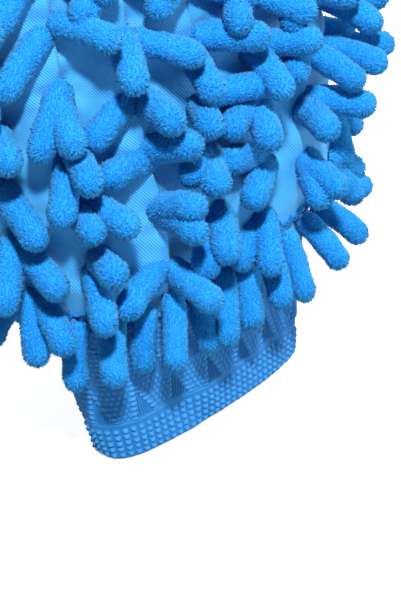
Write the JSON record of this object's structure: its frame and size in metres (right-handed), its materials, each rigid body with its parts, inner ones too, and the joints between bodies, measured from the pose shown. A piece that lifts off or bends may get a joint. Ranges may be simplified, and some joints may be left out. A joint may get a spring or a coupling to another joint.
{
  "type": "wash mitt",
  "caption": "Microfibre car wash mitt with chenille fingers on both faces of a padded, lined hand pouch and a knitted elastic cuff that flexes at the wrist.",
  "frame": {"origin": "centre of the cuff's rim plane, which is the bottom of the upright mitt", "axes": "+Z from the cuff's rim to the fingertips, +X across the mitt's width, the front (palm) face looks along -Y"},
  "size_m": [0.2064, 0.1194, 0.2686],
  "materials": {
    "chenille_blue": "fuzzy chenille pile",
    "backing_cloth_blue": "fine twill with a slight sheen",
    "cuff_knit_blue": "raised rib and bead knit",
    "lining_blue": "smooth knit",
    "wadding_white": "soft felted wadding",
    "elastic_white": "matte",
    "thread_blue": "twisted thread"
  },
  "bodies": {
    "pouch": {"shell_front_panel": "backing_cloth_blue", "shell_back_panel": "backing_cloth_blue", "wadding_front": "wadding_white", "wadding_back": "wadding_white", "lining_front": "lining_blue", "lining_back": "lining_blue", "side_seam_allowance": "thread_blue", "neck_seam_overlock": "thread_blue"},
    "cuff": {"cuff_knit_tube": "cuff_knit_blue", "cuff_elastic_1": "elastic_white", "cuff_elastic_2": "elastic_white", "cuff_elastic_3": "elastic_white", "cuff_elastic_4": "elastic_white"},
    "row_front_1": {"chenille_row_front_1": "chenille_blue"},
    "row_front_2": {"chenille_row_front_2": "chenille_blue"},
    "row_front_3": {"chenille_row_front_3": "chenille_blue"},
    "row_front_4": {"chenille_row_front_4": "chenille_blue"},
    "row_front_5": {"chenille_row_front_5": "chenille_blue"},
    "row_front_6": {"chenille_row_front_6": "chenille_blue"},
    "row_front_7": {"chenille_row_front_7": "chenille_blue"},
    "fringe_front": {"chenille_fringe_front": "chenille_blue"},
    "crown_front": {"chenille_crown_front": "chenille_blue"},
    "row_back_1": {"chenille_row_back_1": "chenille_blue"},
    "row_back_2": {"chenille_row_back_2": "chenille_blue"},
    "row_back_3": {"chenille_row_back_3": "chenille_blue"},
    "row_back_4": {"chenille_row_back_4": "chenille_blue"},
    "row_back_5": {"chenille_row_back_5": "chenille_blue"},
    "row_back_6": {"chenille_row_back_6": "chenille_blue"},
    "row_back_7": {"chenille_row_back_7": "chenille_blue"},
    "fringe_back": {"chenille_fringe_back": "chenille_blue"},
    "crown_back": {"chenille_crown_back": "chenille_blue"}
  },
  "joints": [
    {"name": "cuff_flex", "type": "hinge", "parent": "pouch", "child": "cuff", "pos_m": [0, 0, 0.06], "axis": [1, 0, 0], "range_deg": [-30, 30], "stiffness_Nm_per_rad": 0.8},
    {"name": "row_front_1_sway", "type": "hinge", "parent": "pouch", "child": "row_front_1", "pos_m": [-0.07832, -0.00798, 0.15988], "axis": [0, 0, 1], "range_deg": [-18, 18], "stiffness_Nm_per_rad": 0.05},
    {"name": "row_front_2_sway", "type": "hinge", "parent": "pouch", "child": "row_front_2", "pos_m": [-0.05896, -0.02676, 0.15987], "axis": [0, 0, 1], "range_deg": [-18, 18], "stiffness_Nm_per_rad": 0.05},
    {"name": "row_front_3_sway", "type": "hinge", "parent": "pouch", "child": "row_front_3", "pos_m": [-0.03354, -0.03399, 0.15988], "axis": [0, 0, 1], "range_deg": [-18, 18], "stiffness_Nm_per_rad": 0.05},
    {"name": "row_front_4_sway", "type": "hinge", "parent": "pouch", "child": "row_front_4", "pos_m": [-0.00744, -0.03617, 0.15988], "axis": [0, 0, 1], "range_deg": [-18, 18], "stiffness_Nm_per_rad": 0.05},
    {"name": "row_front_5_sway", "type": "hinge", "parent": "pouch", "child": "row_front_5", "pos_m": [0.01864, -0.03567, 0.15988], "axis": [0, 0, 1], "range_deg": [-18, 18], "stiffness_Nm_per_rad": 0.05},
    {"name": "row_front_6_sway", "type": "hinge", "parent": "pouch", "child": "row_front_6", "pos_m": [0.0446, -0.03172, 0.15988], "axis": [0, 0, 1], "range_deg": [-18, 18], "stiffness_Nm_per_rad": 0.05},
    {"name": "row_front_7_sway", "type": "hinge", "parent": "pouch", "child": "row_front_7", "pos_m": [0.06892, -0.02081, 0.15987], "axis": [0, 0, 1], "range_deg": [-18, 18], "stiffness_Nm_per_rad": 0.05},
    {"name": "fringe_front_sway", "type": "hinge", "parent": "pouch", "child": "fringe_front", "pos_m": [0, -0.03357, 0.07056], "axis": [-1, 0, 0], "range_deg": [0, 40], "stiffness_Nm_per_rad": 0.05},
    {"name": "crown_front_sway", "type": "hinge", "parent": "pouch", "child": "crown_front", "pos_m": [0, -0.01821, 0.25145], "axis": [-1, 0, 0], "range_deg": [-12, 15], "stiffness_Nm_per_rad": 0.05},
    {"name": "row_back_1_sway", "type": "hinge", "parent": "pouch", "child": "row_back_1", "pos_m": [0.07832, 0.00798, 0.15988], "axis": [0, 0, 1], "range_deg": [-18, 18], "stiffness_Nm_per_rad": 0.05},
    {"name": "row_back_2_sway", "type": "hinge", "parent": "pouch", "child": "row_back_2", "pos_m": [0.05896, 0.02676, 0.15987], "axis": [0, 0, 1], "range_deg": [-18, 18], "stiffness_Nm_per_rad": 0.05},
    {"name": "row_back_3_sway", "type": "hinge", "parent": "pouch", "child": "row_back_3", "pos_m": [0.03354, 0.03399, 0.15988], "axis": [0, 0, 1], "range_deg": [-18, 18], "stiffness_Nm_per_rad": 0.05},
    {"name": "row_back_4_sway", "type": "hinge", "parent": "pouch", "child": "row_back_4", "pos_m": [0.00744, 0.03617, 0.15988], "axis": [0, 0, 1], "range_deg": [-18, 18], "stiffness_Nm_per_rad": 0.05},
    {"name": "row_back_5_sway", "type": "hinge", "parent": "pouch", "child": "row_back_5", "pos_m": [-0.01864, 0.03567, 0.15988], "axis": [0, 0, 1], "range_deg": [-18, 18], "stiffness_Nm_per_rad": 0.05},
    {"name": "row_back_6_sway", "type": "hinge", "parent": "pouch", "child": "row_back_6", "pos_m": [-0.0446, 0.03172, 0.15988], "axis": [0, 0, 1], "range_deg": [-18, 18], "stiffness_Nm_per_rad": 0.05},
    {"name": "row_back_7_sway", "type": "hinge", "parent": "pouch", "child": "row_back_7", "pos_m": [-0.06892, 0.02081, 0.15987], "axis": [0, 0, 1], "range_deg": [-18, 18], "stiffness_Nm_per_rad": 0.05},
    {"name": "fringe_back_sway", "type": "hinge", "parent": "pouch", "child": "fringe_back", "pos_m": [0, 0.03357, 0.07056], "axis": [1, 0, 0], "range_deg": [0, 40], "stiffness_Nm_per_rad": 0.05},
    {"name": "crown_back_sway", "type": "hinge", "parent": "pouch", "child": "crown_back", "pos_m": [0, 0.01821, 0.25145], "axis": [1, 0, 0], "range_deg": [-12, 15], "stiffness_Nm_per_rad": 0.05}
  ]
}
